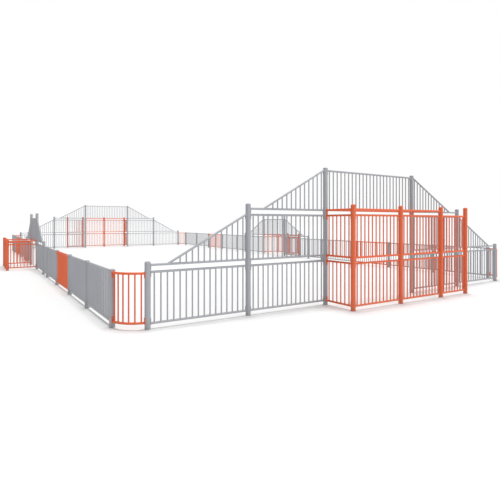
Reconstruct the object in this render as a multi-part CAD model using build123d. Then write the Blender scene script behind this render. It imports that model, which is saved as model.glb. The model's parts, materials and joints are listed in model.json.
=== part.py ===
from build123d import *
from functools import lru_cache
from math import atan2, ceil, degrees, hypot, pi, sqrt
import os

# A free-standing ball court: a rectangle of round posts and welded bar panels, with a
# goal cage and a chicane way in at each end and a small goal cage in each long side.
# Millimetres. Origin at the middle of the court at ground level, long sides along Y,
# end walls across X, Z up. South is -Y and west is -X. The north end is the south end
# turned half a turn about Z, and the east side is the west side turned half a turn.

# ---- Layout, between post centres
BAY = 2000.0  # a full panel bay
SHORT_BAY = 980.0  # make-up bay beside the wing of a side goal
LOW_BAYS = 4  # full bays between a corner and the short bay
ACCENT_BAY = 2  # which of them, counted from the corner, is orange
END_GOAL_WIDTH = 2950.0
SIDE_GOAL_WIDTH = 2000.0
CORNER_RADIUS = 465.0
END_CAGE_DEPTH = 835.0
SIDE_CAGE_DEPTH = 990.0
BAFFLE_LENGTH = 1030.0  # chicane screen that carries on past the end cage

# ---- Levels of rail centres
FIRST_RAIL = 95.0  # lowest rail above the ground
PANEL_HEIGHT = 868.0  # from a panel's bottom rail to its top rail
CORNER_INSET = 16.0  # a corner panel's rails lie this far inside the flat panels' rails

# ---- How far each kind of post stands above the highest rail fixed to it
LOW_POST_RISE = 47.0
STEP_POST_RISE = 67.0
WING_POST_RISE = 104.0
TALL_POST_RISE = 71.0
END_CAGE_POST_RISE = 104.0
SIDE_GOAL_POST_RISE = 199.0
SIDE_CAGE_POST_RISE = 97.0

# ---- Steel sections
POST_DIAMETER = 102.0
POST_WALL = 4.0
POST_FOOT = 6.0  # disc welded into the foot of the tube
RAIL_DIAMETER = 42.4
BAR_DIAMETER = 26.9
BAR_PITCH_LIMIT = 120.0  # bars never stand further apart than this, centre to centre
SLOPE_START = 353.0  # from the lower post to the foot of a sloping rail
SHORTEST_BAR = 100.0  # under a sloping rail, between rail centres
WELD_GAP = 0.1  # between a bar end and a rail that is a piece of its own

# ---- Lugs that bolt a rail end to a post
LUG_WIDTH = 48.0
LUG_SEAT = 40.0  # width of the hollow that fits round the post
LUG_WALL = 5.0  # at its thinnest
LUG_MARGIN = 4.0  # past the rail's edge
LUG_END = 30.0  # past the bolt
LUG_ROUNDING = 2.0
LUG_CLEARANCE = 0.3  # to the post
LUG_SPACING = 9.8  # from the lugs of one tier to the lugs of the next

# ---- Bolts, their holes and the nuts welded inside the posts
BOLT_OFFSET = 55.0  # from the rail centre to the bolt
BOLT_DIAMETER = 10.0
HEAD_DIAMETER = 18.0
HEAD_HEIGHT = 5.5
HEAD_ROUNDING = 3.6
SOCKET_FLATS = 6.0
SOCKET_DEPTH = 3.0
HOLE_CLEARANCE = 0.5  # radial, in lug and post wall
THREAD_CLEARANCE = 0.05  # radial, bolt in nut
NUT_FLATS = 17.0
NUT_THICKNESS = 9.0
NUT_CLEARANCE = 0.1  # nut corners to the inside of the post
BOLT_TIP = 3.0  # past the nut

# ---- Domed post caps
CAP_HEIGHT = 24.0
CAP_RIM = 5.0
CAP_SPIGOT = 22.0
CAP_CLEARANCE = 0.3

# ---- Sizes that follow
POST_RADIUS = POST_DIAMETER / 2
BORE_RADIUS = POST_RADIUS - POST_WALL
RAIL_RADIUS = RAIL_DIAMETER / 2
SEAT_RADIUS = POST_RADIUS + LUG_CLEARANCE
LUG_BACK = sqrt(SEAT_RADIUS**2 - (LUG_SEAT / 2) ** 2)
LUG_FACE = SEAT_RADIUS + LUG_WALL
LUG_OVER = RAIL_RADIUS + LUG_MARGIN
LUG_REACH = BOLT_OFFSET + LUG_END
RAIL_END = LUG_FACE - LUG_WALL / 2  # rails run a little way into their lugs
HOLE_RADIUS = BOLT_DIAMETER / 2 + HOLE_CLEARANCE
NUT_CORNER = NUT_FLATS / sqrt(3)
NUT_FACE = sqrt(BORE_RADIUS**2 - NUT_CORNER**2) - NUT_CLEARANCE
SHANK_LENGTH = LUG_FACE - NUT_FACE + NUT_THICKNESS + BOLT_TIP

TIER_GAP = LUG_OVER + LUG_REACH + LUG_SPACING  # top rail to the next tier's bottom rail
TIER_PITCH = PANEL_HEIGHT + TIER_GAP
CORNER_HEIGHT = PANEL_HEIGHT - 2 * CORNER_INSET
LOW_TIER = FIRST_RAIL  # bottom rail of each tier
CORNER_TIER = LOW_TIER + CORNER_INSET
MID_TIER = LOW_TIER + TIER_PITCH
TOP_TIER = MID_TIER + TIER_PITCH

LOW_POST = LOW_TIER + PANEL_HEIGHT + LOW_POST_RISE
STEP_POST = MID_TIER + STEP_POST_RISE
WING_POST = TOP_TIER + WING_POST_RISE
TALL_POST = TOP_TIER + PANEL_HEIGHT + TALL_POST_RISE
END_CAGE_POST = TOP_TIER + END_CAGE_POST_RISE
SIDE_GOAL_POST = MID_TIER + PANEL_HEIGHT + SIDE_GOAL_POST_RISE
SIDE_CAGE_POST = MID_TIER + SIDE_CAGE_POST_RISE

CORNER_X = END_GOAL_WIDTH / 2 + 2 * BAY  # centre of a corner's arc
CORNER_Y = SIDE_GOAL_WIDTH / 2 + BAY + SHORT_BAY + LOW_BAYS * BAY
END_Y = CORNER_Y + CORNER_RADIUS  # line of an end wall
SIDE_X = CORNER_X + CORNER_RADIUS  # line of a side wall

Z_UP = (Align.CENTER, Align.CENTER, Align.MIN)
Z_DOWN = (Align.CENTER, Align.CENTER, Align.MAX)
X_OUT = (Align.MIN, Align.CENTER, Align.CENTER)
XY_OUT = (Align.MIN, Align.MIN, Align.CENTER)
TO_X = Rot(0, 90, 0)  # turns a shape made along Z to lie along X
HEXAGON = 6
DECIMALS = 3  # kept in a distance between posts

posts = {}  # name: (node, x, y, height)
fixings = []  # (post name, direction in degrees, bolt level)
nodes = {}  # node name: its solids


def keep(node, *shapes):
    """Add shapes to a node."""
    for shape in shapes:
        nodes.setdefault(node, []).extend(shape.solids())


# ---- Rails, lugs and bars


def rod(diameter, start, end):
    """Round rod between two points of a vertical plane, given as (x, z)."""
    run, rise = end[0] - start[0], end[1] - start[1]
    lean = degrees(atan2(run, rise))
    shape = Cylinder(diameter / 2, hypot(run, rise), align=Z_UP)
    return Pos(start[0], 0, start[1]) * Rot(0, lean, 0) * shape


@lru_cache
def lug(upward):
    """Lug for a rail at the origin's level, on a post at the origin, facing +X."""
    height = LUG_OVER + LUG_REACH
    middle = (LUG_REACH - LUG_OVER) / 2
    block = Pos(LUG_BACK, 0, 0) * Box(LUG_FACE - LUG_BACK, LUG_WIDTH, height, align=X_OUT)
    block = fillet(block.faces().sort_by(Axis.X)[-1].edges(), LUG_ROUNDING)
    side = 1 if upward else -1
    block = Pos(0, 0, side * middle) * block
    hole = Pos(0, 0, side * BOLT_OFFSET) * TO_X * Cylinder(HOLE_RADIUS, LUG_FACE, align=Z_UP)
    return block - Cylinder(SEAT_RADIUS, 2 * height) - hole


def rail_pieces(span, level, upward):
    """A straight rail with its two lugs, from a post at x = 0 to one at x = span."""
    near = Pos(0, 0, level) * lug(upward)
    far = Pos(span, 0, level) * Rot(0, 0, 180) * lug(upward)
    return [rod(RAIL_DIAMETER, (RAIL_END, level), (span - RAIL_END, level)), near, far]


def bar_places(span):
    """Even spacing of the bars between two posts."""
    count = ceil(span / BAR_PITCH_LIMIT) - 1
    return [span * (place + 1) / (count + 1) for place in range(count)]


def welded(pieces):
    """One solid from pieces that are welded together."""
    return pieces[0].fuse(*pieces[1:])


@lru_cache
def rail(span):
    """A rail by itself: a crossbar, or a ring rail round a goal cage."""
    return welded(rail_pieces(span, 0, False))


@lru_cache
def flat_panel(span, on_ground):
    """Bar panel with two level rails. The lowest panel's bottom lugs point up."""
    pieces = rail_pieces(span, 0, on_ground) + rail_pieces(span, PANEL_HEIGHT, False)
    for x in bar_places(span):
        pieces.append(rod(BAR_DIAMETER, (x, 0), (x, PANEL_HEIGHT)))
    return welded(pieces)


@lru_cache
def head_panel(span):
    """Panel over a goal: a top rail whose bars run down to the goal's crossbar."""
    pieces = rail_pieces(span, PANEL_HEIGHT, False)
    for x in bar_places(span):
        pieces.append(rod(BAR_DIAMETER, (x, 0), (x, PANEL_HEIGHT)))
    crossbar = TO_X * Cylinder(RAIL_RADIUS + WELD_GAP, span, align=Z_UP)
    return welded(pieces) - crossbar


@lru_cache
def slope_panel(span):
    """Wing panel that slopes up from a low post at x = 0 to a high one at x = span."""
    top = (span - LUG_FACE, PANEL_HEIGHT)
    rise = PANEL_HEIGHT / (top[0] - SLOPE_START)
    past_post = (span, PANEL_HEIGHT + rise * LUG_FACE)
    sloping = rod(RAIL_DIAMETER, (SLOPE_START, 0), past_post)
    beyond = Pos(span - RAIL_END, 0, 0) * Box(span, span, 4 * PANEL_HEIGHT, align=X_OUT)
    high_lug = Pos(span, 0, PANEL_HEIGHT) * Rot(0, 0, 180) * lug(False)
    pieces = rail_pieces(span, 0, False) + [sloping - beyond, high_lug]
    for x in bar_places(span):
        height = rise * (x - SLOPE_START)
        if height >= SHORTEST_BAR:
            pieces.append(rod(BAR_DIAMETER, (x, 0), (x, height)))
    return welded(pieces)


@lru_cache
def corner_panel():
    """Quarter-round panel about the origin, between posts on the +X and +Y axes."""
    level_lugs = [(0, lug(True)), (CORNER_HEIGHT, lug(False))]
    pieces = []
    for level, end_lug in level_lugs:
        ring = Torus(CORNER_RADIUS, RAIL_RADIUS)
        reach = 2 * CORNER_RADIUS
        quarter = Pos(RAIL_END, RAIL_END, 0) * Box(reach, reach, reach, align=XY_OUT)
        pieces.append(Pos(0, 0, level) * (ring & quarter))
        pieces.append(Pos(CORNER_RADIUS, 0, level) * Rot(0, 0, 90) * end_lug)
        pieces.append(Pos(0, CORNER_RADIUS, level) * end_lug)
    arc_length = CORNER_RADIUS * pi / 2
    for along in bar_places(arc_length):
        place = Rot(0, 0, 90 * along / arc_length) * Pos(CORNER_RADIUS, 0, 0)
        pieces.append(place * rod(BAR_DIAMETER, (0, 0), (0, CORNER_HEIGHT)))
    return welded(pieces)


# ---- Fixing a panel between two posts


def direction(start, end):
    """Heading in degrees from one post to another."""
    _, x, y, _ = posts[start]
    _, to_x, to_y, _ = posts[end]
    return degrees(atan2(to_y - y, to_x - x))


def between(start, end):
    """Distance from one post to another."""
    _, x, y, _ = posts[start]
    _, to_x, to_y, _ = posts[end]
    return round(hypot(to_x - x, to_y - y), DECIMALS)


def bolt(post, heading, level, upward=False):
    """Note a bolt for a rail end at a level."""
    offset = BOLT_OFFSET if upward else -BOLT_OFFSET
    fixings.append((post, heading, level + offset))


def put(node, shape, start, end, level):
    """Place a piece made along X between two posts."""
    _, x, y, _ = posts[start]
    keep(node, Pos(x, y, level) * Rot(0, 0, direction(start, end)) * shape)


def fit_rail(node, start, end, level):
    put(node, rail(between(start, end)), start, end, level)
    bolt(start, direction(start, end), level)
    bolt(end, direction(end, start), level)


def fit_flat(node, start, end, level):
    on_ground = level == LOW_TIER
    put(node, flat_panel(between(start, end), on_ground), start, end, level)
    for post, other in ((start, end), (end, start)):
        bolt(post, direction(post, other), level, on_ground)
        bolt(post, direction(post, other), level + PANEL_HEIGHT)


def fit_head(node, crossbar_node, start, end, level):
    put(node, head_panel(between(start, end)), start, end, level)
    for post, other in ((start, end), (end, start)):
        bolt(post, direction(post, other), level + PANEL_HEIGHT)
    fit_rail(crossbar_node, start, end, level)


def fit_slope(node, low, high, level):
    put(node, slope_panel(between(low, high)), low, high, level)
    bolt(low, direction(low, high), level)
    bolt(high, direction(high, low), level)
    bolt(high, direction(high, low), level + PANEL_HEIGHT)


# ---- The two ends: wall, wings, goal cage and chicane

half = END_GOAL_WIDTH / 2
for end, turn in (("south", 1), ("north", -1)):
    wall = turn * -END_Y
    back = turn * -(END_Y + END_CAGE_DEPTH)
    at = {}  # this end's own name for a post: its full name
    for name, node, x, y, height in (
        ("outer_a", "step_posts", -half - 2 * BAY, wall, STEP_POST),
        ("wing_a", "wing_posts", -half - BAY, wall, WING_POST),
        ("goal_a", "goal_posts", -half, wall, TALL_POST),
        ("goal_b", "goal_posts", half, wall, TALL_POST),
        ("wing_b", "wing_posts", half + BAY, wall, WING_POST),
        ("outer_b", "step_posts", half + 2 * BAY, wall, STEP_POST),
        ("cage_a", "cage_posts", -half, back, END_CAGE_POST),
        ("cage_mid", "cage_posts", 0, back, END_CAGE_POST),
        ("cage_b", "cage_posts", half, back, END_CAGE_POST),
        ("screen", "cage_posts", half + BAFFLE_LENGTH, back, END_CAGE_POST),
    ):
        at[name] = f"{end}_{name}"
        posts[at[name]] = (f"{end}_{node}", turn * x, y, height)

    for side in ("a", "b"):
        outer, wing, goal = at[f"outer_{side}"], at[f"wing_{side}"], at[f"goal_{side}"]
        fit_flat(f"{end}_low_panels", outer, wing, LOW_TIER)
        fit_flat(f"{end}_low_panels", wing, goal, LOW_TIER)
        fit_flat(f"{end}_mid_panels", wing, goal, MID_TIER)
        fit_slope(f"{end}_slope_panels", outer, wing, MID_TIER)
        fit_slope(f"{end}_slope_panels", wing, goal, TOP_TIER)
    head_nodes = (f"{end}_goal_head_panel", f"{end}_goal_crossbar")
    fit_head(*head_nodes, at["goal_a"], at["goal_b"], TOP_TIER)
    for level in (LOW_TIER, MID_TIER):
        fit_flat(f"{end}_cage_side_panels", at["goal_a"], at["cage_a"], level)
        fit_flat(f"{end}_cage_back_panels", at["cage_a"], at["cage_mid"], level)
        fit_flat(f"{end}_cage_back_panels", at["cage_mid"], at["cage_b"], level)
        fit_flat(f"{end}_chicane_panels", at["cage_b"], at["screen"], level)
    ring = ("goal_a", "cage_a", "cage_mid", "cage_b", "goal_b")
    for start, stop in zip(ring, ring[1:]):
        fit_rail(f"{end}_cage_rails", at[start], at[stop], TOP_TIER)

# ---- The two long sides: low fence, short bays, wings and goal cage

for side, turn in (("west", 1), ("east", -1)):
    wall = turn * -SIDE_X
    back = turn * -(SIDE_X + SIDE_CAGE_DEPTH)
    middle = f"{side}_cage_mid"
    posts[middle] = (f"{side}_cage_posts", back, 0, SIDE_CAGE_POST)
    for part, way in (("a", -turn), ("b", turn)):
        low = [f"{side}_low_{part}{place}" for place in range(LOW_BAYS + 1)]
        step, goal, cage = (f"{side}_{name}_{part}" for name in ("step", "goal", "cage"))
        for place, name in enumerate(low):
            y = way * (CORNER_Y - place * BAY)
            posts[name] = (f"{side}_low_posts", wall, y, LOW_POST)
        step_y = way * (SIDE_GOAL_WIDTH / 2 + BAY)
        goal_y = way * SIDE_GOAL_WIDTH / 2
        posts[step] = (f"{side}_step_posts", wall, step_y, STEP_POST)
        posts[goal] = (f"{side}_goal_posts", wall, goal_y, SIDE_GOAL_POST)
        posts[cage] = (f"{side}_cage_posts", back, goal_y, SIDE_CAGE_POST)

        for place in range(LOW_BAYS):
            kind = "accent_panels" if place == ACCENT_BAY else "low_panels"
            fit_flat(f"{side}_{kind}", low[place], low[place + 1], LOW_TIER)
        fit_flat(f"{side}_short_panels", low[LOW_BAYS], step, LOW_TIER)
        fit_flat(f"{side}_low_panels", step, goal, LOW_TIER)
        fit_slope(f"{side}_slope_panels", step, goal, MID_TIER)
        fit_flat(f"{side}_cage_side_panels", goal, cage, LOW_TIER)
        fit_flat(f"{side}_cage_back_panels", cage, middle, LOW_TIER)
        fit_rail(f"{side}_cage_rails", goal, cage, MID_TIER)
        fit_rail(f"{side}_cage_rails", cage, middle, MID_TIER)
    head_nodes = (f"{side}_goal_head_panel", f"{side}_goal_crossbar")
    fit_head(*head_nodes, f"{side}_goal_a", f"{side}_goal_b", MID_TIER)

# ---- The four rounded corners. Each joins a side's first low post to an end's outer post

for heading, side_post, end_post in (
    (0, "east_low_a0", "north_outer_a"),
    (90, "west_low_b0", "north_outer_b"),
    (180, "west_low_a0", "south_outer_a"),
    (270, "east_low_b0", "south_outer_b"),
):
    east = 1 if heading in (0, 270) else -1
    north = 1 if heading in (0, 90) else -1
    centre = Pos(east * CORNER_X, north * CORNER_Y, CORNER_TIER)
    keep("corner_panels", centre * Rot(0, 0, heading) * corner_panel())
    toward_end = 90 * north
    toward_side = 0 if east > 0 else 180
    for post, way in ((side_post, toward_end), (end_post, toward_side)):
        bolt(post, way, CORNER_TIER, True)
        bolt(post, way, CORNER_TIER + CORNER_HEIGHT)

# ---- Posts, drilled for their bolts, with caps

spigot_radius = BORE_RADIUS - CAP_CLEARANCE
dome_rise = CAP_HEIGHT - CAP_RIM
dome_radius = (POST_RADIUS**2 + dome_rise**2) / (2 * dome_rise)
cap_profile = make_face(
    [
        Edge.make_line((0, -CAP_SPIGOT), (spigot_radius, -CAP_SPIGOT)),
        Edge.make_line((spigot_radius, -CAP_SPIGOT), (spigot_radius, 0)),
        Edge.make_line((spigot_radius, 0), (POST_RADIUS, 0)),
        Edge.make_line((POST_RADIUS, 0), (POST_RADIUS, CAP_RIM)),
        RadiusArc((POST_RADIUS, CAP_RIM), (0, CAP_HEIGHT), -dome_radius),
        Edge.make_line((0, CAP_HEIGHT), (0, -CAP_SPIGOT)),
    ]
)
cap = revolve(Plane.XZ * cap_profile, Axis.Z)
drill = TO_X * Cylinder(HOLE_RADIUS, POST_DIAMETER, align=Z_UP)

for name, (node, x, y, height) in posts.items():
    tube_height = height - CAP_HEIGHT
    bore = Pos(0, 0, POST_FOOT) * Cylinder(BORE_RADIUS, tube_height, align=Z_UP)
    post = Cylinder(POST_RADIUS, tube_height, align=Z_UP) - bore
    holes = [
        Pos(0, 0, level) * Rot(0, 0, heading) * drill
        for owner, heading, level in fixings
        if owner == name
    ]
    keep(node, Pos(x, y, 0) * (post - holes))
    cap_node = "orange_post_caps" if node.endswith("cage_posts") else "grey_post_caps"
    keep(cap_node, Pos(x, y, tube_height) * cap)

# ---- Button-head bolts and the nuts that they screw into

shank = Cylinder(BOLT_DIAMETER / 2, SHANK_LENGTH, align=Z_DOWN)
head = Cylinder(HEAD_DIAMETER / 2, HEAD_HEIGHT, align=Z_UP)
head = fillet(head.faces().sort_by(Axis.Z)[-1].edges(), HEAD_ROUNDING)
key_hexagon = RegularPolygon(SOCKET_FLATS / 2, HEXAGON, major_radius=False)
socket = Pos(0, 0, HEAD_HEIGHT - SOCKET_DEPTH) * extrude(key_hexagon, SOCKET_DEPTH)
button_bolt = Pos(LUG_FACE, 0, 0) * TO_X * (shank + head - socket)
nut_hexagon = RegularPolygon(NUT_FLATS / 2, HEXAGON, major_radius=False)
thread = Cylinder(BOLT_DIAMETER / 2 + THREAD_CLEARANCE, NUT_THICKNESS, align=Z_UP)
nut = Pos(NUT_FACE - NUT_THICKNESS, 0, 0) * TO_X * (extrude(nut_hexagon, NUT_THICKNESS) - thread)
for owner, heading, level in fixings:
    _, x, y, _ = posts[owner]
    place = Pos(x, y, level) * Rot(0, 0, heading)
    keep("panel_bolts", place * button_bolt)
    keep("weld_nuts", place * nut)

# ---- One STEP file for each node

os.makedirs("parts", exist_ok=True)
for node, solids in nodes.items():
    shape = solids[0] if len(solids) == 1 else Compound(solids)
    export_step(shape, f"parts/{node}.step", write_pcurves=False)
print(len(nodes), "nodes,", sum(len(solids) for solids in nodes.values()), "pieces")
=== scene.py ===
import json
from math import asin, atan2, ceil, cos, hypot, pi, radians, sin, sqrt

import bmesh
import bpy
import numpy as np
from mathutils import Matrix, Vector


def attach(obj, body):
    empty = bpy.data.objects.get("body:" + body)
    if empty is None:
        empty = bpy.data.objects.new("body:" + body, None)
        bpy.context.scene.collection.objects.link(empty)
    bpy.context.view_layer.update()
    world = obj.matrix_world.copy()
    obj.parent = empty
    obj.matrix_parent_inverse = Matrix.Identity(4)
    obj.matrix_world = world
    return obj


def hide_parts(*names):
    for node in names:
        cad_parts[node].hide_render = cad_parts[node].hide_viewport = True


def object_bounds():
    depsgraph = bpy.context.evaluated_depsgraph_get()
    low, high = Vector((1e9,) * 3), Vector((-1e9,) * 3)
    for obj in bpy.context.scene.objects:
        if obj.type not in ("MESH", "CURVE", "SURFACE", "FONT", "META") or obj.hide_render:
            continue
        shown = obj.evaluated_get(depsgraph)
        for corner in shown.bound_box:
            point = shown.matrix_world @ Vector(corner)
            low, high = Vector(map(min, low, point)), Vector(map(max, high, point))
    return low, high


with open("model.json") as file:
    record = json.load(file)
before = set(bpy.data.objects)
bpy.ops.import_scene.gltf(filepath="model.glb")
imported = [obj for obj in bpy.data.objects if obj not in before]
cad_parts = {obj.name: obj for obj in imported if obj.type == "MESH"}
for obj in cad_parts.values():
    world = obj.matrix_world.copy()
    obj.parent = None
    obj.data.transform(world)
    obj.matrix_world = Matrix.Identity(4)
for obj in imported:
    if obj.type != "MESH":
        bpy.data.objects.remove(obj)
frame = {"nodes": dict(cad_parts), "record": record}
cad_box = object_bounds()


# ---------------------------------------------------------------- Studio
# A level camera at eye height outside the south-west corner, a wide pale floor and soft
# light: a white backdrop with a dim glow, a key light almost overhead that draws the
# contact shadows, and low broad fills from the south-south-east and, weaker, the west.

EYE = (-7.896, -19.552, 1.811)
HEADING = 33.18  # degrees east of north
LENS = 30.99
SHIFT = (-0.0157, -0.0560)
FLOOR_SIZE = 900.0
FLOOR_COLOUR = (0.722, 0.722, 0.722, 1)
FLOOR_ROUGHNESS = 0.9
WHITE = (1, 1, 1, 1)
GLOW = 0.40  # the surround's light on the object; the camera sees it white
LIGHTS = (  # strength, spread, tilt from overhead and heading that it comes from, degrees
    (2.7, 17.0, 8.0, 42.0),
    (1.35, 60.0, 66.0, 150.0),
    (0.38, 70.0, 72.0, 245.0),
)

bpy.ops.object.select_all(action="DESELECT")
bpy.ops.object.camera_add(location=EYE, rotation=(radians(90), 0, radians(-HEADING)))
camera = bpy.context.object
camera.data.lens = LENS
camera.data.shift_x, camera.data.shift_y = SHIFT
camera.data.clip_end = 2 * FLOOR_SIZE
bpy.context.scene.camera = camera

bpy.ops.mesh.primitive_plane_add(size=FLOOR_SIZE, location=(0, 0, cad_box[0].z))
floor = bpy.context.object
floor.name = "studio_floor"
floor_finish = bpy.data.materials.new("studio_floor")
floor_finish.use_nodes = True
floor_shader = floor_finish.node_tree.nodes["Principled BSDF"]
floor_shader.inputs["Base Color"].default_value = FLOOR_COLOUR
floor_shader.inputs["Roughness"].default_value = FLOOR_ROUGHNESS
floor.data.materials.append(floor_finish)

surround = bpy.data.worlds.new("studio_surround")
surround.use_nodes = True
glow = surround.node_tree.nodes["Background"]
glow.inputs["Color"].default_value = WHITE
glow.inputs["Strength"].default_value = GLOW
backdrop = surround.node_tree.nodes.new("ShaderNodeBackground")
backdrop.inputs["Color"].default_value = WHITE
seen = surround.node_tree.nodes.new("ShaderNodeLightPath")
either = surround.node_tree.nodes.new("ShaderNodeMixShader")
wires = surround.node_tree.links
wires.new(seen.outputs["Is Camera Ray"], either.inputs["Fac"])
wires.new(glow.outputs["Background"], either.inputs[1])
wires.new(backdrop.outputs["Background"], either.inputs[2])
wires.new(either.outputs["Shader"], surround.node_tree.nodes["World Output"].inputs["Surface"])
bpy.context.scene.world = surround

for strength, spread, tilt, comes_from in LIGHTS:
    bpy.ops.object.light_add(type="SUN", rotation=(radians(tilt), 0, radians(180 - comes_from)))
    bpy.context.object.data.energy = strength
    bpy.context.object.data.angle = radians(spread)
bpy.context.scene.view_settings.view_transform = "Standard"


# ---------------------------------------------------------------- Posts
# Round steel tube, 102 mm across, powder coated grey, or orange round the goal cages.
# Each is cut to its own height, with both ends chamfered, and stands on the ground.

POST_SIDES = 40
FOOT_CHAMFER = 0.0025
TOP_CHAMFER = 0.0015
SAME_POINT = 0.00002  # points of a CAD node as near as this are one
KEY_BITS = 21  # for each of a point's three steps, in its key
NEAR = 0.0005  # how near a vertex is to a plane that it lies on
SMOOTH_ANGLE = radians(35)
DECIMALS = 4  # of a length in metres that like pieces share
GREY = (0.337, 0.348, 0.376)
GREY_FADED = (0.362, 0.373, 0.400)
GREY_DUST = (0.36, 0.34, 0.31)
ORANGE = (0.69, 0.107, 0.028)
ORANGE_FADED = (0.72, 0.128, 0.036)
ORANGE_DUST = (0.45, 0.22, 0.13)
BARE_STEEL = (0.16, 0.15, 0.145)
SATIN = (0.36, 0.5)  # roughness, from its glossiest to its dullest
FADING = (0.9, 5)  # this and the next four: features per metre, and detail
DUST_PATCHES = (14, 6, 0.6)
CHIPS = (130, 2)
UNEVEN_GLOSS = (5, 4)
ORANGE_PEEL = (650, 2)
MIDDLE = (0.35, 0.65)  # most of a noise's values lie between these
WIDE_MIDDLE = (0.3, 0.7)
PATCH_EDGE = (0.35, 0.7)
THINNEST_DUST = 0.2
DUST_HEIGHT = 0.22
DUST_COVER = 0.55
CHIP_EDGE = (0.735, 0.75)  # of the noise: higher for fewer chips
PEEL_STRENGTH = 0.22
CHIP_STRENGTH = 0.5
COAT_DEPTH = 0.0001


def solids_of(node):
    """The points of each separate solid in a CAD node."""
    mesh = frame["nodes"][node].data
    points = np.empty(len(mesh.vertices) * 3, np.float32)
    mesh.vertices.foreach_get("co", points)
    points = points.reshape(-1, 3)
    corners = np.empty(len(mesh.loops), np.int32)
    mesh.loops.foreach_get("vertex_index", corners)
    steps = (points / SAME_POINT).round().astype(np.int64)
    steps -= steps.min(axis=0)
    key = (steps[:, 0] << 2 * KEY_BITS) + (steps[:, 1] << KEY_BITS) + steps[:, 2]
    _, first, merged = np.unique(key, return_index=True, return_inverse=True)
    faces = merged[corners].reshape(-1, 3)
    label = np.arange(len(first))
    while True:
        lowest = label.copy()
        np.minimum.at(lowest, faces.ravel(), np.repeat(label[faces].min(axis=1), 3))
        lowest = lowest[lowest]
        if (lowest == label).all():
            break
        label = lowest
    owner = label[merged]
    return [points[owner == one] for one in np.unique(owner)]


def box_of(points):
    """Lowest and highest corner of some points."""
    return Vector(points.min(axis=0).tolist()), Vector(points.max(axis=0).tolist())


def pick(*objects):
    """Select these objects alone, the first of them active."""
    bpy.ops.object.select_all(action="DESELECT")
    for one in objects:
        one.select_set(True)
    bpy.context.view_layer.objects.active = objects[0]


def place_in_mesh(obj):
    """Put an object's place and turn into its mesh."""
    pick(obj)
    bpy.ops.object.transform_apply(location=True, rotation=True, scale=True)
    return obj


def choose(obj, test):
    """In edit mode, select the vertices that pass a test, and the faces they bound."""
    shape = bmesh.from_edit_mesh(obj.data)
    for vertex in shape.verts:
        vertex.select_set(test(vertex.co))
    shape.select_mode = {"VERT"}
    shape.select_flush_mode()
    bmesh.update_edit_mesh(obj.data)


def copy_to(template, place):
    """A copy with its own mesh, at a place."""
    copy = template.copy()
    copy.data = template.data.copy()
    bpy.context.collection.objects.link(copy)
    copy.matrix_world = place
    return copy


def joined(parts):
    """Several meshes as one, with its place in its mesh."""
    pick(*parts)
    if len(parts) > 1:
        bpy.ops.object.join()
    return place_in_mesh(bpy.context.object)


def finish_piece(parts, name, node, finish):
    """Join the parts of a node's piece, and put it on the body in place of the node."""
    made = joined(parts)
    made.name = made.data.name = name
    made.data.materials.clear()
    made.data.materials.append(finish)
    bpy.ops.object.shade_smooth_by_angle(angle=SMOOTH_ANGLE)
    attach(made, "root")
    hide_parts(node)
    return made


slot_of = {row["node"]: row["material_slot"] for row in frame["record"]["subparts"]}


def link(tree, out_node, out_name, in_node, in_name):
    """Wire one node's output to another's input, both by name."""
    tree.links.new(out_node.outputs[out_name], in_node.inputs[in_name])


def noise(tree, where, scale, detail, roughness=0.5):
    """Noise on the piece's own coordinates, in features per metre."""
    texture = tree.nodes.new("ShaderNodeTexNoise")
    texture.inputs["Scale"].default_value = scale
    texture.inputs["Detail"].default_value = detail
    texture.inputs["Roughness"].default_value = roughness
    link(tree, where, "Object", texture, "Vector")
    return texture


def ranged(tree, source, output, low, high, to_low, to_high):
    """A value brought from one range to another, held at its ends."""
    change = tree.nodes.new("ShaderNodeMapRange")
    change.inputs["From Min"].default_value = low
    change.inputs["From Max"].default_value = high
    change.inputs["To Min"].default_value = to_low
    change.inputs["To Max"].default_value = to_high
    link(tree, source, output, change, "Value")
    return change


def colour_out(mix):
    """The colour that a Mix node gives."""
    return next(out for out in mix.outputs if out.type == "RGBA")


def mixed(tree, factor, first, second):
    """Two colours mixed by a factor: each is a plain colour or another Mix node."""
    mix = tree.nodes.new("ShaderNodeMix")
    mix.data_type = "RGBA"
    link(tree, factor, "Result", mix, "Factor")
    sockets = [socket for socket in mix.inputs if socket.type == "RGBA"]
    for socket, colour in zip(sockets, (first, second)):
        if isinstance(colour, tuple):
            socket.default_value = (*colour, 1)
        else:
            tree.links.new(colour_out(colour), socket)
    return mix


def multiplied(tree, first, second):
    """Two values multiplied, as a Map Range so that it has a Result."""
    change = tree.nodes.new("ShaderNodeMapRange")
    link(tree, first, "Result", change, "Value")
    link(tree, second, "Result", change, "To Max")
    return change


def bump(tree, source, output, strength, distance):
    """Relief from a value, as high in metres as the distance."""
    relief = tree.nodes.new("ShaderNodeBump")
    relief.inputs["Strength"].default_value = strength
    relief.inputs["Distance"].default_value = distance
    link(tree, source, output, relief, "Height")
    return relief


def new_finish(name):
    """A material with its node tree, its shader and the piece's own coordinates."""
    finish = bpy.data.materials.new(name)
    finish.use_nodes = True
    tree = finish.node_tree
    where = tree.nodes.new("ShaderNodeTexCoord")
    return finish, tree, tree.nodes["Principled BSDF"], where


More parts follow.
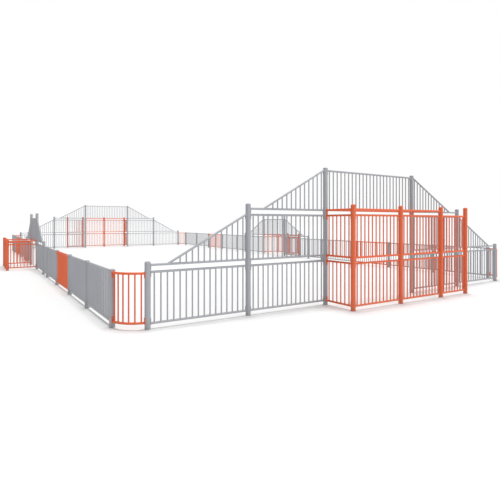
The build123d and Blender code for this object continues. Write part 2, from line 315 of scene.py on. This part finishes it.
def powder_coat(name, colour, faded, dust):
    """Satin polyester coat: orange-peel skin, slow fading, dust low down, a few chips."""
    finish, tree, shader, where = new_finish(name)

    fading = ranged(tree, noise(tree, where, *FADING), "Fac", *MIDDLE, 0, 1)
    paint = mixed(tree, fading, colour, faded)

    height = tree.nodes.new("ShaderNodeSeparateXYZ")
    link(tree, where, "Object", height, "Vector")
    low_down = ranged(tree, height, "Z", 0, DUST_HEIGHT, DUST_COVER, 0)
    patches = noise(tree, where, *DUST_PATCHES)
    patchy = ranged(tree, patches, "Fac", *PATCH_EDGE, THINNEST_DUST, 1)
    dusty = multiplied(tree, low_down, patchy)
    paint = mixed(tree, dusty, paint, dust)

    chips = ranged(tree, noise(tree, where, *CHIPS), "Fac", *CHIP_EDGE, 0, 1)
    paint = mixed(tree, chips, paint, BARE_STEEL)
    tree.links.new(colour_out(paint), shader.inputs["Base Color"])

    gloss = ranged(tree, noise(tree, where, *UNEVEN_GLOSS), "Fac", *WIDE_MIDDLE, *SATIN)
    link(tree, gloss, "Result", shader, "Roughness")

    peel = bump(tree, noise(tree, where, *ORANGE_PEEL), "Fac", PEEL_STRENGTH, COAT_DEPTH)
    chipped = bump(tree, chips, "Result", CHIP_STRENGTH, COAT_DEPTH)
    chipped.invert = True
    link(tree, peel, "Normal", chipped, "Normal")
    link(tree, chipped, "Normal", shader, "Normal")
    return finish


paints = {
    "grey_paint": powder_coat("grey_paint", GREY, GREY_FADED, GREY_DUST),
    "orange_paint": powder_coat("orange_paint", ORANGE, ORANGE_FADED, ORANGE_DUST),
}


def post(height):
    """One post, on the origin."""
    bpy.ops.object.select_all(action="DESELECT")
    bpy.ops.mesh.primitive_cylinder_add(
        vertices=POST_SIDES, radius=post_radius, depth=height, location=(0, 0, height / 2)
    )
    tube = place_in_mesh(bpy.context.object)
    bpy.ops.object.mode_set(mode="EDIT")
    choose(tube, lambda at: at.z < NEAR)
    bpy.ops.mesh.bevel(offset=FOOT_CHAMFER, segments=2)
    choose(tube, lambda at: at.z > height - NEAR)
    bpy.ops.mesh.bevel(offset=TOP_CHAMFER, segments=1)
    bpy.ops.object.mode_set(mode="OBJECT")
    return tube


post_nodes = sorted(name for name in frame["nodes"] if name.endswith("_posts"))
post_low, post_high = box_of(solids_of(post_nodes[0])[0])
post_radius = (post_high.x - post_low.x) / 2
stands = []  # the middle of each post's foot
for node in post_nodes:
    copies = []
    made = {}
    for points in solids_of(node):
        low, high = box_of(points)
        height = round(high.z - low.z, DECIMALS)
        foot = Vector(((low.x + high.x) / 2, (low.y + high.y) / 2, low.z))
        stands.append(foot)
        if height not in made:
            made[height] = post(height)
        copies.append(copy_to(made[height], Matrix.Translation(foot)))
    for template in made.values():
        bpy.data.objects.remove(template)
    finish_piece(copies, node + "_tube", node, paints[slot_of[node]])


# ---------------------------------------------------------------- Post caps
# Moulded nylon caps in the colour of their posts. Each has a short straight rim on the
# tube's end and a low dome, and its spigot grips the inside of the tube.

CAP_SIDES = 32
CAP_RIM = 0.005
CAP_CHAMFER = 0.0012
SPIGOT_RADIUS = 0.0467
DOME_RINGS = 5
GREY_NYLON = (0.325, 0.33, 0.352)
GREY_NYLON_FADED = (0.35, 0.355, 0.377)
ORANGE_NYLON = (0.67, 0.105, 0.031)
ORANGE_NYLON_FADED = (0.71, 0.125, 0.041)
NYLON_SPECULAR = 0.42
MATT = (0.5, 0.62)  # roughness
WEATHERING = (25, 4)
UNEVEN_MATT = (60, 3)
GRAIN = (1400, 3)
GRAIN_STRENGTH = 0.35
GRAIN_DEPTH = 0.0001


def nylon(name, colour, faded):
    """Moulded nylon: a fine matt grain, a little paler where it weathers."""
    finish, tree, shader, where = new_finish(name)
    shader.inputs["Specular IOR Level"].default_value = NYLON_SPECULAR
    fading = ranged(tree, noise(tree, where, *WEATHERING), "Fac", *MIDDLE, 0, 1)
    tree.links.new(colour_out(mixed(tree, fading, colour, faded)), shader.inputs["Base Color"])
    gloss = ranged(tree, noise(tree, where, *UNEVEN_MATT), "Fac", *WIDE_MIDDLE, *MATT)
    link(tree, gloss, "Result", shader, "Roughness")
    grain = bump(tree, noise(tree, where, *GRAIN), "Fac", GRAIN_STRENGTH, GRAIN_DEPTH)
    link(tree, grain, "Normal", shader, "Normal")
    return finish


caps = {
    "grey_post_caps": nylon("grey_cap", GREY_NYLON, GREY_NYLON_FADED),
    "orange_post_caps": nylon("orange_cap", ORANGE_NYLON, ORANGE_NYLON_FADED),
}


def cap(spigot, rise):
    """One cap, its rim on the origin's level, its spigot below and its dome above."""
    dome = rise - CAP_RIM
    dome_radius = (post_radius**2 + dome**2) / (2 * dome)
    bpy.ops.object.select_all(action="DESELECT")
    bpy.ops.mesh.primitive_cylinder_add(
        vertices=CAP_SIDES, radius=post_radius, depth=CAP_RIM, location=(0, 0, CAP_RIM / 2)
    )
    shell = place_in_mesh(bpy.context.object)
    bpy.ops.object.mode_set(mode="EDIT")
    choose(shell, lambda at: at.z < NEAR)
    bpy.ops.mesh.bevel(offset=CAP_CHAMFER, segments=1)
    choose(shell, lambda at: at.z < NEAR)
    bpy.ops.mesh.inset(thickness=post_radius - CAP_CHAMFER - SPIGOT_RADIUS)
    bpy.ops.mesh.extrude_region_move(TRANSFORM_OT_translate={"value": (0, 0, -spigot)})
    choose(shell, lambda at: at.z > CAP_RIM - NEAR)
    ring, level = post_radius, CAP_RIM
    for place in range(1, DOME_RINGS + 1):
        lean = (1 - place / (DOME_RINGS + 1)) * asin(post_radius / dome_radius)
        wide = dome_radius * sin(lean)
        up = rise - dome_radius * (1 - cos(lean))
        bpy.ops.mesh.extrude_region_move(TRANSFORM_OT_translate={"value": (0, 0, up - level)})
        bpy.ops.transform.resize(value=(wide / ring, wide / ring, 1), center_override=(0, 0, up))
        ring, level = wide, up
    bpy.ops.mesh.extrude_region_move(TRANSFORM_OT_translate={"value": (0, 0, rise - level)})
    bpy.ops.mesh.merge(type="CENTER")
    bpy.ops.object.mode_set(mode="OBJECT")
    return shell


for node, finish in caps.items():
    copies = []
    template = None
    for points in solids_of(node):
        low, high = box_of(points)
        middle = (low + high) / 2
        from_axis = np.hypot(points[:, 0] - middle.x, points[:, 1] - middle.y)
        seat = float(points[from_axis > SPIGOT_RADIUS + NEAR][:, 2].min())
        if template is None:
            template = cap(seat - low.z, high.z - seat)
        place = Matrix.Translation((middle.x, middle.y, seat))
        copies.append(copy_to(template, place))
    bpy.data.objects.remove(template)
    finish_piece(copies, node + "_moulded", node, finish)


# ---------------------------------------------------------------- Flat bar panels
# Welded steel panels: two 42.4 mm rails with 26.9 mm upright bars between them, no more
# than 120 mm apart, and at each rail end a forged lug that seats on the post and is bolted.

RAIL_RADIUS = 0.0212
RAIL_SIDES = 20
BAR_RADIUS = 0.01345
BAR_SIDES = 12
BAR_PITCH_LIMIT = 0.120
BAR_BEAD = 0.004  # how far the weld bead round a bar stands out
RAIL_BEAD = 0.002
BEAD_LENGTH = 0.005
BEAD_START = 0.0265  # from a rail's centre to where a bar's bead begins
BEAD_DEPTH = 0.010  # from a rail's centre to where the flared bar ends, inside the rail
LUG_WIDTH = 0.048
LUG_SEAT = 0.040
LUG_WALL = 0.005
LUG_OVER = RAIL_RADIUS + 0.004  # past the rail's centre
LUG_REACH = 0.085  # to the bolted end
LUG_ROUNDING = 0.002
LUG_CLEARANCE = 0.0003
LUG_COLUMNS = (-0.020, -0.010, 0.0, 0.010, 0.020)

seat_radius = post_radius + LUG_CLEARANCE
lug_back = sqrt(seat_radius**2 - (LUG_SEAT / 2) ** 2)
lug_face = seat_radius + LUG_WALL
rail_end = lug_face - LUG_WALL / 2
lug_middle = (LUG_REACH - LUG_OVER) / 2


def lug_shape():
    """A lug that faces +X from a post on the origin, its block centred on z = 0."""
    bpy.ops.object.select_all(action="DESELECT")
    size = (lug_face - lug_back, LUG_WIDTH, LUG_OVER + LUG_REACH)
    bpy.ops.mesh.primitive_cube_add(size=1, location=((lug_face + lug_back) / 2, 0, 0), scale=size)
    block = place_in_mesh(bpy.context.object)
    bpy.ops.object.mode_set(mode="EDIT")
    choose(block, lambda at: at.x > lug_face - NEAR)
    bpy.ops.mesh.bevel(offset=LUG_ROUNDING, segments=2)
    for column in LUG_COLUMNS:
        bpy.ops.mesh.select_all(action="SELECT")
        bpy.ops.mesh.bisect(plane_co=(0, column, 0), plane_no=(0, 1, 0))
    bpy.ops.object.mode_set(mode="OBJECT")
    for vertex in block.data.vertices:
        if vertex.co.x < lug_back + NEAR:
            inside = max(seat_radius**2 - vertex.co.y**2, lug_back**2)
            vertex.co.x = sqrt(inside)
    return block


lug = lug_shape()


def lugs(span, level, side=-1):
    """The two lugs of a rail between posts at x = 0 and x = span. Side 1 points them up."""
    height = level + side * lug_middle
    near = Matrix.Translation((0, 0, height))
    far = Matrix.Translation((span, 0, height)) @ Matrix.Rotation(pi, 4, "Z")
    return [copy_to(lug, near), copy_to(lug, far)]


def flare(way, at, bead, radius):
    """In edit mode, draw the chosen end of a rod out along a way, wider by a bead."""
    bpy.ops.mesh.extrude_region_move(TRANSFORM_OT_translate={"value": way})
    wide = (radius + bead) / radius
    size = [1 if abs(step) > 0 else wide for step in way]
    bpy.ops.transform.resize(value=size, center_override=at)


def rail(span, level):
    """A rail along X, with a weld bead where it meets the lug at each end."""
    bpy.ops.object.select_all(action="DESELECT")
    start, stop = lug_face + BEAD_LENGTH, span - lug_face - BEAD_LENGTH
    bpy.ops.mesh.primitive_cylinder_add(
        vertices=RAIL_SIDES,
        radius=RAIL_RADIUS,
        depth=stop - start,
        location=(span / 2, 0, level),
        rotation=(0, pi / 2, 0),
    )
    tube = place_in_mesh(bpy.context.object)
    draw = BEAD_LENGTH + LUG_WALL / 2
    bpy.ops.object.mode_set(mode="EDIT")
    choose(tube, lambda at: at.x < start + NEAR)
    flare((-draw, 0, 0), (start - draw, 0, level), RAIL_BEAD, RAIL_RADIUS)
    choose(tube, lambda at: at.x > stop - NEAR)
    flare((draw, 0, 0), (stop + draw, 0, level), RAIL_BEAD, RAIL_RADIUS)
    bpy.ops.object.mode_set(mode="OBJECT")
    return tube


def bar(x, bottom, top, slant=0.0):
    """An upright bar between rail centres. Slant is the upper rail's rise per metre."""
    bpy.ops.object.select_all(action="DESELECT")
    start, stop = bottom + BEAD_START, top - BEAD_START
    bpy.ops.mesh.primitive_cylinder_add(
        vertices=BAR_SIDES,
        radius=BAR_RADIUS,
        depth=stop - start,
        location=(x, 0, (start + stop) / 2),
    )
    rod = place_in_mesh(bpy.context.object)
    draw = BEAD_START - BEAD_DEPTH
    bpy.ops.object.mode_set(mode="EDIT")
    choose(rod, lambda at: at.z < start + NEAR)
    flare((0, 0, -draw), (x, 0, start - draw), BAR_BEAD, BAR_RADIUS)
    choose(rod, lambda at: at.z > stop - NEAR)
    flare((0, 0, draw), (x, 0, stop + draw), BAR_BEAD, BAR_RADIUS)
    bpy.ops.object.mode_set(mode="OBJECT")
    for vertex in rod.data.vertices:
        if vertex.co.z > stop - NEAR:
            vertex.co.z += slant * (vertex.co.x - x)
    return rod


def bar_count(span):
    """How many bars stand between two posts."""
    return ceil(round(span / BAR_PITCH_LIMIT, DECIMALS)) - 1


def row_of_bars(span, bottom, top):
    """The even row of bars between two posts."""
    pitch = span / (bar_count(span) + 1)
    first = bar(pitch, bottom, top)
    pick(first)
    row = first.modifiers.new("row", "ARRAY")
    row.count = bar_count(span)
    row.use_relative_offset = False
    row.use_constant_offset = True
    row.constant_offset_displace = (pitch, 0, 0)
    bpy.ops.object.modifier_apply(modifier=row.name)
    return first


def flat_panel(span, height, on_ground):
    """A panel with its lower rail at z = 0. On the ground, that rail's lugs point up."""
    parts = [row_of_bars(span, 0, height), rail(span, 0), rail(span, height)]
    parts += lugs(span, 0, 1 if on_ground else -1) + lugs(span, height)
    return joined(parts)


def nearest(x, y):
    """The post that stands nearest to a point."""
    return min(stands, key=lambda foot: hypot(foot.x - x, foot.y - y))


def ends_of(points):
    """The posts that a straight solid runs between."""
    low, high = box_of(points)
    if high.x - low.x > high.y - low.y:
        middle = (low.y + high.y) / 2
        return nearest(low.x, middle), nearest(high.x, middle)
    middle = (low.x + high.x) / 2
    return nearest(middle, low.y), nearest(middle, high.y)


def between(start, stop, level):
    """The place of a piece made along X, from one post towards another."""
    turn = atan2(stop.y - start.y, stop.x - start.x)
    return Matrix.Translation((start.x, start.y, level)) @ Matrix.Rotation(turn, 4, "Z")


FLAT = (
    "low_panels",
    "mid_panels",
    "accent_panels",
    "short_panels",
    "cage_back_panels",
    "cage_side_panels",
    "chicane_panels",
)
ground_rail = min(box_of(points)[0].z for points in solids_of("south_low_panels")) + LUG_OVER
templates = {}
for node in sorted(name for name in frame["nodes"] if name.endswith(FLAT)):
    copies = []
    for points in solids_of(node):
        low, high = box_of(points)
        start, stop = ends_of(points)
        span = round((stop - start).length, DECIMALS)
        on_ground = low.z < ground_rail
        bottom = low.z + LUG_OVER if on_ground else low.z + LUG_REACH
        height = round(high.z - LUG_OVER - bottom, DECIMALS)
        kind = (span, height, on_ground)
        if kind not in templates:
            templates[kind] = flat_panel(*kind)
        copies.append(copy_to(templates[kind], between(start, stop, bottom)))
    finish_piece(copies, node + "_welded", node, paints[slot_of[node]])
for template in templates.values():
    bpy.data.objects.remove(template)


# ---------------------------------------------------------------- Sloping wing panels
# Panels that step the wall down from a tall post to a lower one: a level rail, a rail
# that climbs from it to the tall post, and bars of growing length between the two.

SLOPE_START = 0.353  # from the lower post to the foot of the sloping rail
SHORTEST_BAR = 0.100


def slope_panel(span, height):
    """A sloping panel with its low post at x = 0 and its level rail at z = 0."""
    rise = height / (span - lug_face - SLOPE_START)
    run = span - SLOPE_START
    lean = atan2(run, rise * run)
    bpy.ops.object.select_all(action="DESELECT")
    bpy.ops.mesh.primitive_cylinder_add(
        vertices=RAIL_SIDES,
        radius=RAIL_RADIUS,
        depth=hypot(run, rise * run),
        location=(SLOPE_START + run / 2, 0, rise * run / 2),
        rotation=(0, lean, 0),
    )
    sloping = place_in_mesh(bpy.context.object)
    bpy.ops.object.mode_set(mode="EDIT")
    bpy.ops.mesh.select_all(action="SELECT")
    bpy.ops.mesh.bisect(
        plane_co=(span - rail_end, 0, 0), plane_no=(1, 0, 0), use_fill=True, clear_outer=True
    )
    bpy.ops.object.mode_set(mode="OBJECT")
    parts = [sloping, rail(span, 0)] + lugs(span, 0)
    high_lug = Matrix.Translation((span, 0, height - lug_middle)) @ Matrix.Rotation(pi, 4, "Z")
    parts.append(copy_to(lug, high_lug))
    pitch = span / (bar_count(span) + 1)
    for place in range(bar_count(span)):
        x = pitch * (place + 1)
        top = rise * (x - SLOPE_START)
        if top >= SHORTEST_BAR:
            parts.append(bar(x, 0, top, rise))
    return joined(parts)


templates = {}
for node in sorted(name for name in frame["nodes"] if name.endswith("slope_panels")):
    copies = []
    for points in solids_of(node):
        low, high = box_of(points)
        top_points = points[points[:, 2] > high.z - LUG_OVER]
        tall = nearest(*top_points[:, :2].mean(axis=0).tolist())
        ends = ends_of(points)
        short = ends[0] if ends[1] == tall else ends[1]
        bottom = low.z + LUG_REACH
        span = round((tall - short).length, DECIMALS)
        kind = (span, round(high.z - LUG_OVER - bottom, DECIMALS - 1))
        if kind not in templates:
            templates[kind] = slope_panel(*kind)
        copies.append(copy_to(templates[kind], between(short, tall, bottom)))
    finish_piece(copies, node + "_welded", node, paints[slot_of[node]])
for template in templates.values():
    bpy.data.objects.remove(template)


# ---------------------------------------------------------------- Crossbars and ring rails
# Single orange rails with a lug at each end: the crossbar of each goal, and the rails that
# ring the top of each goal cage.


def single_rail(span):
    """One rail at z = 0 with its two lugs."""
    return joined([rail(span, 0)] + lugs(span, 0))


SINGLE = ("goal_crossbar", "cage_rails")
for node in sorted(name for name in frame["nodes"] if name.endswith(SINGLE)):
    copies = []
    for points in solids_of(node):
        start, stop = ends_of(points)
        level = box_of(points)[1].z - LUG_OVER
        template = single_rail((stop - start).length)
        copies.append(copy_to(template, between(start, stop, level)))
        bpy.data.objects.remove(template)
    finish_piece(copies, node + "_welded", node, paints[slot_of[node]])


# ---------------------------------------------------------------- Panels over the goals
# A top rail whose bars run down and are welded to the goal's crossbar, so that the ball
# can't pass over the goal.

for node in sorted(name for name in frame["nodes"] if name.endswith("goal_head_panel")):
    points = solids_of(node)[0]
    crossbar_points = solids_of(node.replace("head_panel", "crossbar"))[0]
    start, stop = ends_of(points)
    crossbar = box_of(crossbar_points)[1].z - LUG_OVER
    height = box_of(points)[1].z - LUG_OVER - crossbar
    span = (stop - start).length
    template = joined([row_of_bars(span, 0, height), rail(span, height)] + lugs(span, height))
    copies = [copy_to(template, between(start, stop, crossbar))]
    bpy.data.objects.remove(template)
    finish_piece(copies, node + "_welded", node, paints[slot_of[node]])


# ---------------------------------------------------------------- Rounded corners
# Quarter-round panels, orange: two rails rolled to the corner's radius, upright bars
# between them, and lugs onto the last post of the side and of the end.

ARC_STEPS = 18


def corner_rail(radius, level):
    """A rail rolled to a quarter circle about the Z axis, between lugs on +X and +Y."""
    inset = asin(rail_end / radius)
    bpy.ops.object.select_all(action="DESELECT")
    bpy.ops.mesh.primitive_circle_add(
        vertices=RAIL_SIDES,
        radius=RAIL_RADIUS,
        location=(radius, 0, level),
        rotation=(pi / 2, 0, 0),
    )
    place_in_mesh(bpy.context.object)
    bpy.context.object.data.transform(Matrix.Rotation(inset, 4, "Z"))
    bpy.ops.object.mode_set(mode="EDIT")
    bpy.ops.mesh.select_all(action="SELECT")
    bpy.ops.mesh.spin(
        steps=ARC_STEPS, angle=pi / 2 - 2 * inset, center=(0, 0, 0), axis=(0, 0, -1)
    )
    bpy.ops.mesh.select_all(action="SELECT")
    bpy.ops.mesh.remove_doubles(threshold=NEAR / 10)
    bpy.ops.mesh.fill_holes(sides=0)
    bpy.ops.mesh.select_all(action="SELECT")
    bpy.ops.mesh.normals_make_consistent(inside=False)
    bpy.ops.object.mode_set(mode="OBJECT")
    return bpy.context.object


def corner_panel(radius, height):
    """A corner panel about the origin, its lower rail at z = 0."""
    parts = []
    for level, side in ((0, 1), (height, -1)):
        parts.append(corner_rail(radius, level))
        at_side = Matrix.Translation((radius, 0, level + side * lug_middle))
        at_end = Matrix.Translation((0, radius, level + side * lug_middle))
        parts.append(copy_to(lug, at_side @ Matrix.Rotation(pi / 2, 4, "Z")))
        parts.append(copy_to(lug, at_end))
    first = bar(radius, 0, height)
    count = bar_count(radius * pi / 2)
    for place in range(1, count + 1):
        parts.append(copy_to(first, Matrix.Rotation(pi / 2 * place / (count + 1), 4, "Z")))
    bpy.data.objects.remove(first)
    return joined(parts)


copies = []
for points in solids_of("corner_panels"):
    low, high = box_of(points)
    middle = (low + high) / 2
    by_distance = sorted(stands, key=lambda foot: hypot(foot.x - middle.x, foot.y - middle.y))
    near_posts = by_distance[:2]
    side_post = max(near_posts, key=lambda foot: abs(foot.x))
    end_post = max(near_posts, key=lambda foot: abs(foot.y))
    centre = Vector((end_post.x, side_post.y, low.z + LUG_OVER))
    radius = abs(side_post.x - end_post.x)
    template = corner_panel(radius, high.z - low.z - 2 * LUG_OVER)
    toward = atan2(middle.y - centre.y, middle.x - centre.x) - pi / 4
    place = Matrix.Translation(centre) @ Matrix.Rotation(toward, 4, "Z")
    copies.append(copy_to(template, place))
    bpy.data.objects.remove(template)
finish_piece(copies, "corner_panels_welded", "corner_panels", paints[slot_of["corner_panels"]])
bpy.data.objects.remove(lug)


# ---------------------------------------------------------------- Bolts and weld nuts
# Stainless button-head bolts with a hexagon socket hold each lug to its post. Each screws
# into a zinc-plated nut that is welded inside the tube, out of sight.

BOLT_SIDES = 12
HEAD_RADIUS = 0.009
HEAD_RIM = 0.0019
HEAD_HEIGHT = 0.0055
CROWN_RADIUS = 0.0054
SOCKET_RADIUS = 0.0034
SOCKET_DEPTH = 0.003
SHANK_RADIUS = 0.005
SHANK_LENGTH = 0.0224
STAINLESS = (0.60, 0.60, 0.59)
STAINLESS_STAINED = (0.47, 0.45, 0.42)
STAINLESS_ROUGHNESS = 0.26
ZINC = (0.56, 0.55, 0.51)
ZINC_STAINED = (0.42, 0.41, 0.37)
ZINC_ROUGHNESS = 0.38
UNEVEN = 0.16  # how much the roughness varies
STAINS = (180, 4)
STAIN_EDGE = (0.4, 0.7)
SCUFFS = (700, 3)
TURNING_MARKS = (3200, 2)
MARK_STRENGTH = 0.3
MARK_DEPTH = 0.00005


def metal(name, colour, tarnish, rough):
    """Bare or plated steel with fine turning marks and a little tarnish."""
    finish, tree, shader, where = new_finish(name)
    shader.inputs["Metallic"].default_value = 1
    stained = ranged(tree, noise(tree, where, *STAINS), "Fac", *STAIN_EDGE, 0, 1)
    tree.links.new(colour_out(mixed(tree, stained, colour, tarnish)), shader.inputs["Base Color"])
    scuffs = noise(tree, where, *SCUFFS)
    gloss = ranged(tree, scuffs, "Fac", *WIDE_MIDDLE, rough, rough + UNEVEN)
    link(tree, gloss, "Result", shader, "Roughness")
    marks = bump(tree, noise(tree, where, *TURNING_MARKS), "Fac", MARK_STRENGTH, MARK_DEPTH)
    link(tree, marks, "Normal", shader, "Normal")
    return finish


stainless = metal("bolt_steel", STAINLESS, STAINLESS_STAINED, STAINLESS_ROUGHNESS)
zinc = metal("nut_steel", ZINC, ZINC_STAINED, ZINC_ROUGHNESS)


def bolt_shape():
    """A bolt along +X with the underside of its head on the origin."""
    bpy.ops.object.select_all(action="DESELECT")
    bpy.ops.mesh.primitive_cylinder_add(
        vertices=BOLT_SIDES, radius=HEAD_RADIUS, depth=HEAD_RIM, location=(0, 0, HEAD_RIM / 2)
    )
    shape = place_in_mesh(bpy.context.object)
    bpy.ops.object.mode_set(mode="EDIT")
    choose(shape, lambda at: at.z > HEAD_RIM - NEAR)
    crown = (0, 0, HEAD_HEIGHT - HEAD_RIM)
    bpy.ops.mesh.extrude_region_move(TRANSFORM_OT_translate={"value": crown})
    narrow = CROWN_RADIUS / HEAD_RADIUS
    bpy.ops.transform.resize(value=(narrow, narrow, 1), center_override=(0, 0, HEAD_HEIGHT))
    bpy.ops.mesh.inset(thickness=CROWN_RADIUS - SOCKET_RADIUS)
    bpy.ops.mesh.extrude_region_move(TRANSFORM_OT_translate={"value": (0, 0, -SOCKET_DEPTH)})
    choose(shape, lambda at: at.z < NEAR)
    bpy.ops.mesh.inset(thickness=HEAD_RADIUS - SHANK_RADIUS)
    bpy.ops.mesh.extrude_region_move(TRANSFORM_OT_translate={"value": (0, 0, -SHANK_LENGTH)})
    bpy.ops.object.mode_set(mode="OBJECT")
    shape.data.transform(Matrix.Rotation(pi / 2, 4, "Y"))
    return shape


template = bolt_shape()
copies = []
for points in solids_of("panel_bolts"):
    low, high = box_of(points)
    middle = (low + high) / 2
    foot = nearest(middle.x, middle.y)
    heading = atan2(middle.y - foot.y, middle.x - foot.x)
    turn = Matrix.Rotation(heading, 4, "Z")
    seat = Vector((foot.x, foot.y, middle.z)) + turn @ Vector((lug_face, 0, 0))
    copies.append(copy_to(template, Matrix.Translation(seat) @ turn))
bpy.data.objects.remove(template)
finish_piece(copies, "panel_bolts_stainless", "panel_bolts", stainless)

nuts = frame["nodes"]["weld_nuts"]
nuts.data.materials.clear()
nuts.data.materials.append(zinc)
